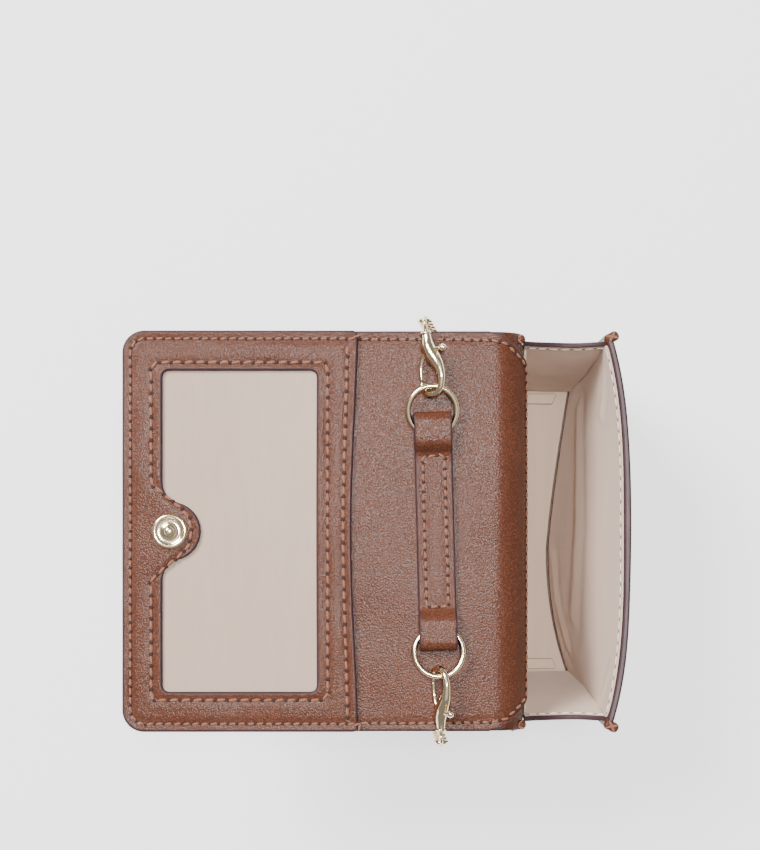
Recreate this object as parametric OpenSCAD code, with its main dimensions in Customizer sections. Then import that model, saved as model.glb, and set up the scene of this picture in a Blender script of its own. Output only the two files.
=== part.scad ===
// Flap wallet on a detachable chain, standing on its base with the flap laid open.
// Origin: centre of the base on the surface it stands on. +X points out of the pocket's
// front, +Y along the wallet's width, +Z up. Millimetres.

/* [Wallet] */
// Width of the pocket and of the flap
wallet_w = 110; // [104:1:116]
// Depth of the pocket at its base
base_depth = 25.2; // [24:0.2:27]
// Height of the front rim along the front wall
front_wall_h = 73.6; // [70:0.2:74]
// Lean of the front wall when the mouth stands open
front_lean = 3.4; // [2:0.1:3.6]
// Height of the open flap's underside
flap_z = 79; // [78:0.5:82]

/* [Leather and lining] */
// Thickness of the outer leather
leather_t = 1.2; // [1:0.1:1.3]
// Thickness of the inner facing with its stiffener
facing_t = 1.5; // [1.3:0.1:1.6]
// Thickness of a stiffener board
board_t = 0.5; // [0.3:0.1:0.6]
// Thickness of the lining cloth
lining_t = 0.4; // [0.3:0.1:0.5]
// Outer radius of the open fold behind the pocket
fold_r = 10; // [9:0.5:11]

/* [Flap] */
// Length of the flap's front panel, from the front fold to the tip
front_panel_l = 64.6; // [60:0.2:66]
// Length of the roof panel between the two folds
roof_l = 23; // [22:0.5:24]
// Radius of the flap's corners
corner_r = 6; // [4:0.5:8]
// Thickness of the window frame's leather layer
frame_t = 1.7; // [1.5:0.1:2]
// Width of the card window
window_w = 88; // [84:1:90]
// Height of the card window, along the flap
window_l = 42.3; // [40:0.1:44]

/* [Hardware] */
// Radius of the snap's visible disc
snap_r = 4.8; // [4.5:0.1:6]
// Middle radius of the O-rings
ring_r = 6.65; // [6:0.05:7]
// Wire radius of the O-rings
ring_wire = 0.75; // [0.6:0.05:0.8]
// Width of the chain
chain_d = 4.2; // [3.8:0.1:4.4]
// Width of the strap bar that holds the rings
strap_w = 10.3; // [9:0.1:11]

/* [Hidden] */
$fn = 48;

// Colours
leather = [0.50, 0.30, 0.22];
cloth = [0.78, 0.72, 0.66];
board = [0.60, 0.52, 0.42];
gold = [0.86, 0.76, 0.56];
steel = [0.62, 0.62, 0.60];

// Pocket
slack = 0.1;                         // gap between neighbouring layers
half_w = wallet_w / 2;
back_x = -base_depth / 2;            // outer face of the back panel
front_x = base_depth / 2;            // outer face of the front panel at the base
base_half_w = half_w - 5;
gusset_foot_y = half_w - 7.5;        // where a gusset meets the base
gusset_rim_y = half_w - 3.2;         // where a gusset meets the rim
gusset_foot_z = leather_t + 0.3;
gusset_rim_z = 73;
gusset_t = 1;
gusset_tilt = atan((gusset_rim_y - gusset_foot_y) / (gusset_rim_z - gusset_foot_z));
front_inner = leather_t + board_t + lining_t + slack;

// Flap
flap_t = leather_t + facing_t;
facing_z = flap_z + leather_t;       // underside of the facing
flap_top = flap_z + flap_t;
fold_in_r = fold_r - flap_t;
fold_x = back_x - fold_in_r;         // centre of the fold behind the pocket
fold_z = flap_top - fold_r;
fold_tail = 4.5;                     // flat strip of the fold on the roof's side
fold_foot = 4;                       // flat strip of the fold on the wall's side
facing_end = 15;                     // angle above level where the facing is cut off
roof_x1 = fold_x - fold_tail;
roof_x0 = roof_x1 - roof_l;
front_fold_l = 10;
panel_x1 = roof_x0 - front_fold_l;
tip_x = panel_x1 - front_panel_l;
board_inset = 3;
frame_top = flap_top + frame_t;

// Card window, in the flap's front panel
window_x0 = tip_x + 11;
window_x1 = window_x0 + window_l;
window_margin = 5;
backing_t = 0.3;
film_t = 0.2;
tab_r = 8;
tab_flare = 13.3;
snap_x = window_x0 + 2.1;
post_r = 1.5;
nub_r = 1.4;
washer_r = 5;

// Snap cup on the front wall
cup_r = 6.2;
cup_t = 2;
cup_bore = 1.9;
cup_up = 19.85;                      // its height along the front wall

// Strap bar, rings and clasps, in a frame turned by strap_turn about the bar's middle
strap_x = back_x - 23.6;
strap_turn = 1.5;
strap_end = 32.7;
strap_skin = 1.1;
tunnel_h = 2.8;
ring_y = 33.05;
ring_z = flap_top + strap_skin + 1.2;
ring_pivot = ring_y - ring_r + 0.85; // where the ring turns in its loop
ring_end = ring_y + ring_r;          // where the clasp hooks on, with the ring flat
ring_tilt = 9;                       // the rings lie propped on the hooks
clasp_dip = 3;                       // the clasps slope down to the flap's edge
clasp_a_lean = 5;
clasp_a_roll = 38;
clasp_b_lean = 0;
clasp_b_roll = 60;
hook_seat = 3;                       // ring centre above the bottom of the hook
hook_t = 1.3;
clasp_t = 2.6;
pin_r = 0.5;
pivot_u = 12.6;                      // gate pivot, along the clasp
neck_u = 17.6;
eye_u = 19.9;
eye_r = 1.45;
eye_wire = 0.45;

// Chain: a lead hangs from each clasp, then runs to a coil stored under the flap
chain_r = chain_d / 2;
coil_x = -72;
coil_in = 17.6;
coil_out = 33.2;
coil_h = 8.6;
lead_a_route = [[-39.2, 57.8, 82.6], [-38.6, 57.8, 76], [-37.3, 57.8, 64], [-35.4, 57.8, 46],
                [-33.5, 57.8, 28], [-31.7, 57.8, 10]];
lead_b_route = [[-34.6, -57.9, 82.6], [-34.7, -57.9, 76], [-34.8, -57.9, 64], [-35, -57.9, 46],
                [-35.3, -57.9, 28], [-35.5, -57.9, 10]];
run_a_route = [[-31.7, 57.8, 8.2], [-32, 57.5, 5.2], [-33.6, 56.2, 2.8], [-38, 52.6, 2.1],
               [-45, 47, 2.1], [-53, 40.4, 2.1], [-61, 34, 2.1], [-71, 31, 2.1]];
run_b_route = [[-35.5, -57.9, 8.2], [-35.8, -57.6, 5.2], [-37.8, -56, 2.8], [-42, -52.4, 2.1],
               [-48, -47, 2.6], [-54.5, -40.4, 4.2], [-62, -34, 6], [-72, -31, 6.4]];

// A prism along Y from an outline in X and Z
module across(w) {
    translate([0, w / 2, 0]) rotate([90, 0, 0]) linear_extrude(w) children();
}

// A flat layer between two X positions
module layer(x0, x1, z0, t, inset = 0) {
    translate([x0 + inset, -half_w + inset, z0])
        cube([x1 - x0 - 2 * inset, wallet_w - 2 * inset, t]);
}

// Outline of the flap's front panel: square at the fold, round at the tip
module panel_outline(inset = 0) {
    r = corner_r - inset / 2;
    x0 = tip_x + inset;
    y1 = half_w - inset;
    translate([x0 + r, -y1]) square([panel_x1 - inset - x0 - r, 2 * y1]);
    translate([x0, -y1 + r]) square([r + 1, 2 * (y1 - r)]);
    for (s = [-1, 1]) translate([x0 + r, s * (y1 - r)]) circle(r);
}

// Places its children on the front wall: x out of the wall, z up along it
module on_front_wall() {
    translate([front_x, 0, leather_t + 0.3]) rotate([0, front_lean, 0]) children();
}

// Front wall outline in Y and Z, with round lower corners, as a plate of thickness t
module wall_plate(x0, t, inset, r) {
    y1 = half_w - inset;
    translate([x0, 0, 0]) rotate([90, 0, 90]) linear_extrude(t) {
        translate([-y1, r + inset / 4]) square([2 * y1, front_wall_h - r - inset / 4]);
        translate([-y1 + r, inset / 4]) square([2 * (y1 - r), r + 1]);
        for (s = [-1, 1]) translate([s * (y1 - r), r + inset / 4]) circle(r);
    }
}

// A cylinder out of the front wall
module wall_cylinder(x0, t, r) {
    translate([x0, 0, cup_up]) rotate([0, 90, 0]) cylinder(r = r, h = t);
}

// A tube swept along a route, with a ring of points at each of the route's points
function unit(v) = v / norm(v);
function heading(p, i) = unit(p[min(i + 1, len(p) - 1)] - p[max(i - 1, 0)]);
function side_of(t) = unit(cross(t, abs(t.z) < 0.9 ? [0, 0, 1] : [0, 1, 0]));
module tube(route, r, sides = 8) {
    n = len(route);
    points = [for (i = [0 : n - 1]) let (t = heading(route, i), a = side_of(t), b = cross(t, a))
        for (k = [0 : sides - 1]) let (q = 360 * k / sides) route[i] + r * (a * cos(q) + b * sin(q))];
    walls = [for (i = [0 : n - 2]) for (k = [0 : sides - 1]) let (m = (k + 1) % sides)
        [i * sides + k, i * sides + m, (i + 1) * sides + m, (i + 1) * sides + k]];
    ends = [[for (k = [sides - 1 : -1 : 0]) k], [for (k = [0 : sides - 1]) (n - 1) * sides + k]];
    polyhedron(points, concat(walls, ends), convexity = 4);
}

// ---- pocket ----

module base_leather() {
    color(leather) translate([back_x, -base_half_w, 0]) cube([base_depth, 2 * base_half_w, leather_t]);
}

module base_lining() {
    color(cloth) translate([back_x + 2.4, -gusset_foot_y + 0.9, leather_t + slack])
        cube([base_depth - 5.4, 2 * gusset_foot_y - 1.8, lining_t]);
}

module back_panel_leather() {
    r = 8;
    top = fold_z - fold_foot;
    color(leather) translate([back_x, 0, leather_t]) rotate([90, 0, 90]) linear_extrude(leather_t) {
        translate([-half_w, r]) square([wallet_w, top - leather_t - r]);
        translate([-half_w + r, 0]) square([wallet_w - 2 * r, r + 1]);
        for (s = [-1, 1]) translate([s * (half_w - r), r]) circle(r);
    }
}

module back_stiffener() {
    color(board) translate([back_x + leather_t, -gusset_foot_y + 1, 4])
        cube([board_t, 2 * gusset_foot_y - 2, 60]);
}

module back_lining() {
    color(cloth) translate([back_x + leather_t + board_t, -gusset_foot_y + 1, leather_t + 0.8])
        cube([lining_t, 2 * gusset_foot_y - 2, fold_z - leather_t - 1]);
}

// Outline of a gusset seen from the side: its rim dips between the walls
module gusset_outline() {
    lean = tan(front_lean);
    back = back_x + leather_t + board_t + lining_t + slack;
    foot = front_x - front_inner - 0.3;
    top = gusset_rim_z - gusset_foot_z;
    polygon([[back, 0], [foot, 0], [foot + top * lean, top], [foot + top * lean - 5, top - 4.5],
             [2, top - 7], [back + 6, top - 5], [back, top - 2.5]]);
}

// The gusset's plate, leaning outwards from the base to the rim
module gusset_plate(t, offset_y) {
    translate([0, gusset_foot_y, gusset_foot_z]) rotate([-gusset_tilt, 0, 0])
        translate([0, offset_y + t, 0]) rotate([90, 0, 0]) linear_extrude(t) gusset_outline();
}

// The flange that the gusset turns outwards against the back panel
module back_flange() {
    rise = gusset_rim_z - 4 - gusset_foot_z;
    translate([back_x + leather_t + slack, 0, gusset_foot_z]) rotate([90, 0, 90])
        linear_extrude(gusset_t)
        polygon([[gusset_foot_y + 0.3, 8], [half_w - 0.3, 8], [half_w - 0.3, rise],
                 [gusset_foot_y + 0.3 + rise * tan(gusset_tilt), rise]]);
}

module gusset(s) {
    color(leather) mirror([0, s < 0 ? 1 : 0, 0]) {
        gusset_plate(gusset_t, 0);
        back_flange();
    }
}

module gusset_left() { gusset(-1); }
module gusset_right() { gusset(1); }

module gusset_lining(s) {
    color(cloth) mirror([0, s < 0 ? 1 : 0, 0]) gusset_plate(lining_t, -lining_t - 0.05);
}

module gusset_left_lining() { gusset_lining(-1); }
module gusset_right_lining() { gusset_lining(1); }

// ---- fold behind the pocket ----

module fold_sector(r0, r1, from) {
    far = 2 * fold_r;
    translate([fold_x, fold_z]) intersection() {
        difference() {
            circle(r1);
            circle(r0);
        }
        polygon([[0, 0], far * [cos(from), sin(from)], [far, far], [0, far]]);
    }
}

module back_fold_leather() {
    color(leather) across(wallet_w) {
        fold_sector(fold_in_r, fold_in_r + leather_t, 0);
        translate([back_x, fold_z - fold_foot]) square([leather_t, fold_foot + 0.01]);
        translate([roof_x1, flap_z]) square([fold_tail + 0.01, leather_t]);
    }
}

module back_fold_facing() {
    color(leather) across(wallet_w) {
        fold_sector(fold_in_r + leather_t, fold_r, facing_end);
        translate([roof_x1, facing_z]) square([fold_tail + 0.01, facing_t]);
    }
}

// ---- front wall ----

module front_panel_leather() {
    color(leather) on_front_wall() difference() {
        wall_plate(-leather_t, leather_t, 0, 8);
        wall_cylinder(-leather_t - 1, leather_t + 2, cup_bore + 0.45);
    }
}

module front_stiffener() {
    color(board) on_front_wall() difference() {
        wall_plate(-leather_t - board_t, board_t, 4, 6);
        wall_cylinder(-leather_t - board_t - 1, board_t + 2, washer_r + 0.2);
        translate([-5, -half_w, front_wall_h - 3]) cube([10, wallet_w, 5]);
    }
}

module front_lining() {
    color(cloth) on_front_wall()
        translate([-front_inner, -gusset_foot_y - 1.8, 0.8])
            cube([lining_t, 2 * gusset_foot_y + 3.6, front_wall_h - 0.8]);
}

module snap_cup() {
    color(gold) on_front_wall() difference() {
        union() {
            wall_cylinder(0, cup_t, cup_r);
            wall_cylinder(-leather_t - board_t, leather_t + board_t + 0.5, cup_bore + 0.4);
        }
        wall_cylinder(-5, 10, cup_bore);
        difference() {
            wall_cylinder(-0.01, cup_t - 0.4, cup_r - 0.6);
            wall_cylinder(-1, cup_t + 1, cup_bore + 0.4);
        }
    }
}

module snap_magnet() {
    color(steel) on_front_wall() difference() {
        wall_cylinder(0.05, cup_t - 0.5, cup_r - 0.7);
        wall_cylinder(-1, cup_t + 1, cup_bore + 0.5);
    }
}

module snap_cup_washer() {
    color(steel) on_front_wall() difference() {
        wall_cylinder(-leather_t - board_t + 0.05, board_t - 0.1, washer_r);
        wall_cylinder(-5, 10, cup_bore + 0.45);
    }
}

// ---- flap ----

module roof_leather() {
    color(leather) layer(roof_x0, roof_x1, flap_z, leather_t);
}

module roof_stiffener() {
    color(board) layer(roof_x0, roof_x1, facing_z + 0.02, board_t - 0.04, board_inset);
}

module roof_facing() {
    color(leather) difference() {
        layer(roof_x0, roof_x1, facing_z, facing_t);
        layer(roof_x0, roof_x1, facing_z - 0.5, board_t + 0.5, board_inset - 0.05);
    }
}

module front_fold_leather() {
    color(leather) layer(panel_x1, roof_x0, flap_z, leather_t);
}

module front_fold_facing() {
    color(leather) layer(panel_x1, roof_x0, facing_z, facing_t);
}

module flap_leather() {
    color(leather) translate([0, 0, flap_z]) linear_extrude(leather_t) panel_outline();
}

module flap_stiffener() {
    color(board) translate([0, 0, facing_z + 0.02]) linear_extrude(board_t - 0.04) difference() {
        panel_outline(board_inset);
        translate([snap_x, 0]) circle(washer_r + 0.2);
    }
}

module flap_facing() {
    color(leather) difference() {
        translate([0, 0, facing_z]) linear_extrude(facing_t) panel_outline();
        translate([0, 0, facing_z - 0.5]) linear_extrude(board_t + 0.5) panel_outline(board_inset - 0.05);
        translate([snap_x, 0, 0]) cylinder(r = post_r + 0.1, h = 200);
    }
}

// The window opening and the rounded tab that carries the snap
module window_outline() {
    r = 1.8;
    for (x = [window_x0 + r, window_x1 - r]) for (y = [-1, 1])
        translate([x, y * (window_w / 2 - r)]) circle(r);
    translate([window_x0, -window_w / 2 + r]) square([window_l, window_w - 2 * r]);
    translate([window_x0 + r, -window_w / 2]) square([window_l - 2 * r, window_w]);
}

module tab_outline() {
    centre = snap_x + 0.4;
    translate([centre, 0]) circle(tab_r);
    translate([window_x0 - 1, -tab_r]) square([centre - window_x0 + 1, 2 * tab_r]);
    for (s = [-1, 1]) polygon([[window_x0 - 1, s * tab_flare], [window_x0, s * tab_flare],
        [window_x0 + 1.2, s * (tab_r + 2.2)], [centre + 0.8, s * (tab_r - 0.1)],
        [window_x0 - 1, s * (tab_r - 1)]]);
}

module backing_plate(z0, t, margin) {
    translate([window_x0 - margin, -window_w / 2 - margin, z0])
        cube([window_l + 2 * margin, window_w + 2 * margin, t]);
}

module id_backing() {
    color(cloth) difference() {
        backing_plate(flap_top, backing_t, window_margin);
        translate([snap_x, 0, 0]) cylinder(r = post_r + 0.1, h = 200);
    }
}

module id_film() {
    color([0.9, 0.9, 0.9, 0.3]) difference() {
        backing_plate(flap_top + backing_t, film_t, window_margin);
        translate([snap_x, 0, 0]) cylinder(r = post_r + 0.1, h = 200);
    }
}

module id_frame() {
    color(leather) difference() {
        union() {
            difference() {
                translate([0, 0, flap_top]) linear_extrude(frame_t) panel_outline();
                translate([0, 0, flap_top - 1]) linear_extrude(frame_t + 2) window_outline();
            }
            translate([0, 0, flap_top]) linear_extrude(frame_t) tab_outline();
        }
        backing_plate(flap_top - 1, backing_t + film_t + 1.05, window_margin + 0.1);
        translate([snap_x, 0, 0]) cylinder(r = post_r + 0.1, h = 200);
    }
}

module snap_stud() {
    color(gold) translate([snap_x, 0, 0]) {
        translate([0, 0, frame_top]) cylinder(r = snap_r, h = 1.2);
        translate([0, 0, frame_top]) cylinder(r = nub_r, h = 2.8);
        translate([0, 0, facing_z + 0.05]) cylinder(r = post_r, h = frame_top - facing_z + 0.1);
    }
}

module snap_stud_washer() {
    color(steel) translate([snap_x, 0, facing_z + 0.05]) difference() {
        cylinder(r = washer_r, h = board_t - 0.1);
        translate([0, 0, -1]) cylinder(r = post_r + 0.1, h = 3);
    }
}

// ---- strap bar and rings ----

module in_strap_frame() {
    translate([strap_x, 0, 0]) rotate([0, 0, strap_turn]) children();
}

// The strip is sewn down in its middle and loops round a ring at each end
module strap_bar() {
    mid_t = 2.4;
    loop_t = 2 * strap_skin + tunnel_h;
    loop_c = strap_end - loop_t / 2;
    tunnel_y = 25;
    color(leather) in_strap_frame() translate([-strap_w / 2, 0, flap_top]) rotate([90, 0, 90])
        linear_extrude(strap_w) {
            translate([-20, 0]) square([40, mid_t]);
            for (s = [-1, 1]) scale([s, 1]) difference() {
                union() {
                    polygon([[19, 0], [loop_c, 0], [loop_c, loop_t], [24, loop_t], [20, mid_t], [19, mid_t]]);
                    translate([loop_c, loop_t / 2]) circle(loop_t / 2);
                }
                translate([tunnel_y, strap_skin]) square([loop_c - tunnel_y, tunnel_h]);
                for (y = [tunnel_y, loop_c]) translate([y, loop_t / 2]) circle(tunnel_h / 2);
            }
        }
}

// A ring in the loop at the bar's +Y end
module ring() {
    color(gold) translate([0, ring_pivot, ring_z]) rotate([ring_tilt, 0, 0])
        translate([0, ring_y - ring_pivot, 0]) rotate_extrude() translate([ring_r, 0]) circle(ring_wire);
}

// Mirrors its children to the other end of the strap bar
module other_end() {
    mirror([0, 1, 0]) children();
}

module ring_a() { in_strap_frame() ring(); }
module ring_b() { in_strap_frame() other_end() ring(); }

// ---- clasps: x across the clasp, y along it from the hook to the eye, z through it ----

module hang_clasp(lean, roll) {
    reach = ring_end - ring_pivot;
    translate([0, ring_pivot + reach * cos(ring_tilt), ring_z + reach * sin(ring_tilt)])
        rotate([-clasp_dip, 0, lean]) rotate([0, -roll, 0]) translate([0, -hook_seat, 0]) children();
}

module place_a() {
    in_strap_frame() hang_clasp(clasp_a_lean, clasp_a_roll) children();
}

module place_b() {
    in_strap_frame() other_end() hang_clasp(clasp_b_lean, clasp_b_roll) children();
}

module hook_outline() {
    difference() {
        union() {
            translate([0, 4.1]) circle(4.1);
            polygon([[-4.05, 4.6], [-3.4, 9], [-2.3, 13.5], [-1.6, neck_u], [1.6, neck_u],
                     [2.5, 13.5], [3.7, 9], [4.05, 4.6]]);
        }
        translate([0, 4.1]) circle(2.7);
        polygon([[-2.7, 4.1], [-2, 9.2], [-0.6, 10.6], [0.8, 10], [2.7, 4.1]]);
        polygon([[-5, 4.6], [-1.4, 4.6], [-1.4, 9], [0, 11], [-1.2, 14.4], [-5, 14.4]]);
    }
}

module clasp_hook() {
    slot_w = 1.4;
    color(gold) difference() {
        union() {
            translate([0, 0, -hook_t / 2]) linear_extrude(hook_t) hook_outline();
            translate([0, 0, -clasp_t / 2]) linear_extrude(clasp_t) intersection() {
                hook_outline();
                translate([-6, 9.4]) square([12, 9]);
            }
            for (z = [-clasp_t / 2, clasp_t / 2 - 0.45]) translate([0, pivot_u, z])
                cylinder(r = 1.6, h = 0.45);
        }
        translate([-6, 9.9, -0.55]) cube([12, 5.3, slot_w]);
        translate([0, pivot_u, -3]) cylinder(r = pin_r, h = 6);
        translate([0, neck_u + 1, 0]) rotate([90, 0, 0]) cylinder(r = 0.8, h = 2.6);
        translate([0, 16.6, 0]) rotate([90, 0, 0]) cylinder(r = 1.05, h = 0.7);
    }
}

module gate_pin() {
    color(steel) translate([0, pivot_u, -clasp_t / 2]) cylinder(r = pin_r, h = clasp_t);
}

// A flat coil spring beside the lever
module gate_spring() {
    color(steel) translate([0, pivot_u, 0.5]) difference() {
        cylinder(r = 1.1, h = 0.3);
        translate([0, 0, -1]) cylinder(r = 0.7, h = 3);
    }
}

module gate() {
    gate_t = 0.9;
    color(gold) difference() {
        union() {
            translate([0, 0, -gate_t / 2]) linear_extrude(gate_t) {
                polygon([[-3.9, 5], [-2.7, 5], [-2.3, 9.3], [-0.8, 11.3], [1.2, 11.7], [4.4, 12.2],
                         [4.4, 13.2], [1, 13.7], [-1.1, 13.3], [-3.3, 9.6]]);
                translate([0, pivot_u]) circle(1.2);
            }
            translate([5, pivot_u + 0.1, 0]) sphere(1.1);
        }
        translate([0, pivot_u, -3]) cylinder(r = pin_r + 0.05, h = 6);
    }
}

// The swivel eye: a headed post in the clasp's neck, with a ring for the chain
module eye() {
    color(gold) {
        translate([0, eye_u, 0]) rotate_extrude() translate([eye_r, 0]) circle(eye_wire);
        translate([0, eye_u - eye_r, 0]) rotate([90, 0, 0]) cylinder(r = 0.7, h = eye_u - eye_r - 16);
        translate([0, 16.5, 0]) rotate([90, 0, 0]) cylinder(r = 0.95, h = 0.5);
    }
}

// The eye stands on edge while the hook rolls on it
module eye_a() { place_a() rotate([0, clasp_a_roll + 90, 0]) eye(); }
module eye_b() { place_b() rotate([0, clasp_b_roll + 90, 0]) eye(); }
module clasp_a_hook() { place_a() clasp_hook(); }
module clasp_b_hook() { place_b() clasp_hook(); }
module gate_pin_a() { place_a() gate_pin(); }
module gate_pin_b() { place_b() gate_pin(); }
module gate_spring_a() { place_a() gate_spring(); }
module gate_spring_b() { place_b() gate_spring(); }
module gate_a() { place_a() gate(); }
module gate_b() { place_b() gate(); }

// ---- chain ----

module chain_lead_a() { color(gold) tube(lead_a_route, chain_r); }
module chain_lead_b() { color(gold) tube(lead_b_route, chain_r); }
module chain_run_a() { color(gold) tube(run_a_route, chain_r); }
module chain_run_b() { color(gold) tube(run_b_route, chain_r); }

module chain_coil() {
    r = 2;
    color(gold) translate([coil_x, 0, 0]) rotate_extrude() {
        translate([coil_in + r, 0]) square([coil_out - coil_in - 2 * r, coil_h]);
        translate([coil_in, r]) square([coil_out - coil_in, coil_h - 2 * r]);
        for (x = [coil_in + r, coil_out - r]) for (z = [r, coil_h - r]) translate([x, z]) circle(r);
    }
}

base_leather();
base_lining();
back_panel_leather();
back_stiffener();
back_lining();
gusset_left();
gusset_left_lining();
gusset_right();
gusset_right_lining();
back_fold_leather();
back_fold_facing();
front_panel_leather();
front_stiffener();
front_lining();
snap_cup();
snap_magnet();
snap_cup_washer();
roof_leather();
roof_stiffener();
roof_facing();
strap_bar();
front_fold_leather();
front_fold_facing();
flap_leather();
flap_stiffener();
flap_facing();
id_backing();
id_film();
id_frame();
snap_stud();
snap_stud_washer();
ring_a();
ring_b();
eye_a();
eye_b();
clasp_a_hook();
gate_pin_a();
gate_spring_a();
gate_a();
clasp_b_hook();
gate_pin_b();
gate_spring_b();
gate_b();
chain_lead_a();
chain_lead_b();
chain_run_a();
chain_run_b();
chain_coil();
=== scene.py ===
"""Chain wallet: leather, lining, threads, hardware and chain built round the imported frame."""
import math

import bmesh
import bpy
import numpy as np
from mathutils import Matrix, Vector, noise


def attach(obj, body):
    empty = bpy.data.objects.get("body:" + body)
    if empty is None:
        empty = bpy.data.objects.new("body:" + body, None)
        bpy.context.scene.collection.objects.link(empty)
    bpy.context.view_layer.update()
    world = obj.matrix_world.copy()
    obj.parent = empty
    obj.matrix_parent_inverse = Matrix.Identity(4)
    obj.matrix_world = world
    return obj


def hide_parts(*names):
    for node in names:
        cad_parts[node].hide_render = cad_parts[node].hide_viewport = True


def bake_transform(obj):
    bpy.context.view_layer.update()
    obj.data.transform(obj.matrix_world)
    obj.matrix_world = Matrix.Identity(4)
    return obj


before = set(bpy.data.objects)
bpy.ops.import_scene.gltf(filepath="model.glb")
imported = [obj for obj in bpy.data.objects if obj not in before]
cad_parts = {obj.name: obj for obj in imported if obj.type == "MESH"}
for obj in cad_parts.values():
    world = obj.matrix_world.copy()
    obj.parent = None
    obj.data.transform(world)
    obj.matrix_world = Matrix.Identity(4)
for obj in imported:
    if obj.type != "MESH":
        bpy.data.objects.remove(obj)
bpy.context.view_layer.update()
to_metres = 0.001
up = Vector((0, 0, 1))

# ---- camera ----
camera_data = bpy.data.cameras.new("camera")
camera_data.lens = 69.4
camera_data.shift_y = 0.125
camera = bpy.data.objects.new("camera", camera_data)
camera.location = (-0.0514, 0, 0.5317)
bpy.context.scene.collection.objects.link(camera)
bpy.context.scene.camera = camera

# ---- main places, in millimetres ----
flap_under = 79.0            # outer leather of the open flap
facing_under = 80.2
flap_top = 81.7
frame_top = 83.4
half_width = 55.0
tip_x = -122.0
frame_edge_x = -57.4         # mouth of the card slot
mid_roof_x = -36.2           # where the back pieces meet the flap pieces, under the strap bar
fold_x, fold_z = -19.9, 71.7
fold_mid_r = 8.5             # where leather and facing meet in the fold behind the pocket
wall_foot_z = 1.3
window = (-111.0, -68.7, 44.0)
tab_x, tab_r, tab_fillet = -108.5, 8.0, 5.67


# ---- shapes ----
def piece(name, shape, materials, body=None, smooth=True):
    """Turns a shape in millimetres into a piece in metres."""
    bmesh.ops.scale(shape, vec=(to_metres,) * 3, verts=shape.verts)
    for face in shape.faces:
        face.smooth = smooth
    mesh = bpy.data.meshes.new(name)
    shape.to_mesh(mesh)
    shape.free()
    made = bpy.data.objects.new(name, mesh)
    bpy.context.scene.collection.objects.link(made)
    for material in materials:
        mesh.materials.append(material)
    if body:
        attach(made, body)
    return made


def arc(centre, radius, start, end, count):
    """Points on an arc, angles in degrees."""
    turn = [math.radians(start + (end - start) * i / count) for i in range(count + 1)]
    return [(centre[0] + radius * math.cos(t), centre[1] + radius * math.sin(t)) for t in turn]


def rounded_outline(corners, segments=8):
    """Points of a closed outline from corners (x, y, radius), taken anticlockwise."""
    points = []
    for i, (x, y, radius) in enumerate(corners):
        here = Vector((x, y))
        if not radius:
            points.append((x, y))
            continue
        before = (Vector(corners[i - 1][:2]) - here).normalized()
        after = (Vector(corners[(i + 1) % len(corners)][:2]) - here).normalized()
        half = before.angle(after) / 2
        reach = radius / math.tan(half)
        first, last = here + before * reach, here + after * reach
        middle = here + (before + after).normalized() * radius / math.sin(half)
        for k in range(segments + 1):
            t = k / segments
            way = (first - middle).lerp(last - middle, t).normalized()
            points.append(tuple(middle + way * radius))
    return points


def loop_of(shape, points, z=0.0):
    """A closed loop of edges through points."""
    verts = [shape.verts.new((x, y, z)) for x, y in points]
    return [shape.edges.new((verts[i - 1], verts[i])) for i in range(len(verts))]


def flat_face(outline, *holes):
    """A flat face inside an outline, less its holes."""
    shape = bmesh.new()
    edges = []
    for points in (outline, *holes):
        edges += loop_of(shape, points)
    bmesh.ops.triangle_fill(shape, edges=edges, use_beauty=True, use_dissolve=False, normal=up)
    bmesh.ops.recalc_face_normals(shape, faces=shape.faces)
    if shape.faces and sum(f.normal.z * f.calc_area() for f in shape.faces) < 0:
        bmesh.ops.reverse_faces(shape, faces=shape.faces)
    return shape


def slice_up(shape, axis, low, high, step):
    """Cuts a shape across at even steps, so that it can bend."""
    count = max(1, round((high - low) / step / (1)))
    normal = Vector((axis == 0, axis == 1, axis == 2))
    for i in range(1, count):
        cut = normal * (low + (high - low) * i / count)
        parts = shape.verts[:] + shape.edges[:] + shape.faces[:]
        bmesh.ops.bisect_plane(shape, geom=parts, dist=1e-4, plane_co=cut, plane_no=normal)


def slab(outline, low, high, *holes, rim=0.35, step=1.0, sides=1):
    """A sheet of material between two heights, with its rim rounded and its sides of another finish."""
    shape = flat_face(outline, *holes)
    bmesh.ops.translate(shape, vec=(0, 0, high), verts=shape.verts)
    bmesh.ops.solidify(shape, geom=shape.faces[:], thickness=high - low)
    bmesh.ops.recalc_face_normals(shape, faces=shape.faces)
    spread = [v.co.z for v in shape.verts]
    bmesh.ops.translate(shape, vec=(0, 0, high - max(spread)), verts=shape.verts)
    if rim:
        sharp = [e for e in shape.edges if len(e.link_faces) == 2 and e.calc_face_angle() > 1]
        bmesh.ops.bevel(shape, geom=sharp, affect="EDGES", offset=rim, segments=3, profile=0.5, material=-1)
    if step:
        xs = [v.co.x for v in shape.verts]
        ys = [v.co.y for v in shape.verts]
        slice_up(shape, 0, min(xs), max(xs), step)
        slice_up(shape, 1, min(ys), max(ys), step)
    shape.normal_update()
    for face in shape.faces:
        if abs(face.normal.z) < 0.98:
            face.material_index = sides
    return shape


def cut_end(shape, x, side):
    """Cuts a shape off square at x and closes it; what lies to that side of x goes."""
    parts = shape.verts[:] + shape.edges[:] + shape.faces[:]
    made = bmesh.ops.bisect_plane(shape, geom=parts, dist=1e-4, plane_co=(x, 0, 0), plane_no=(side, 0, 0), clear_outer=True)
    rims = [g for g in made["geom_cut"] if isinstance(g, bmesh.types.BMEdge)]
    bmesh.ops.holes_fill(shape, edges=rims, sides=0)
    bmesh.ops.recalc_face_normals(shape, faces=shape.faces)
    for edge in rims:
        edge.smooth = False


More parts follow.
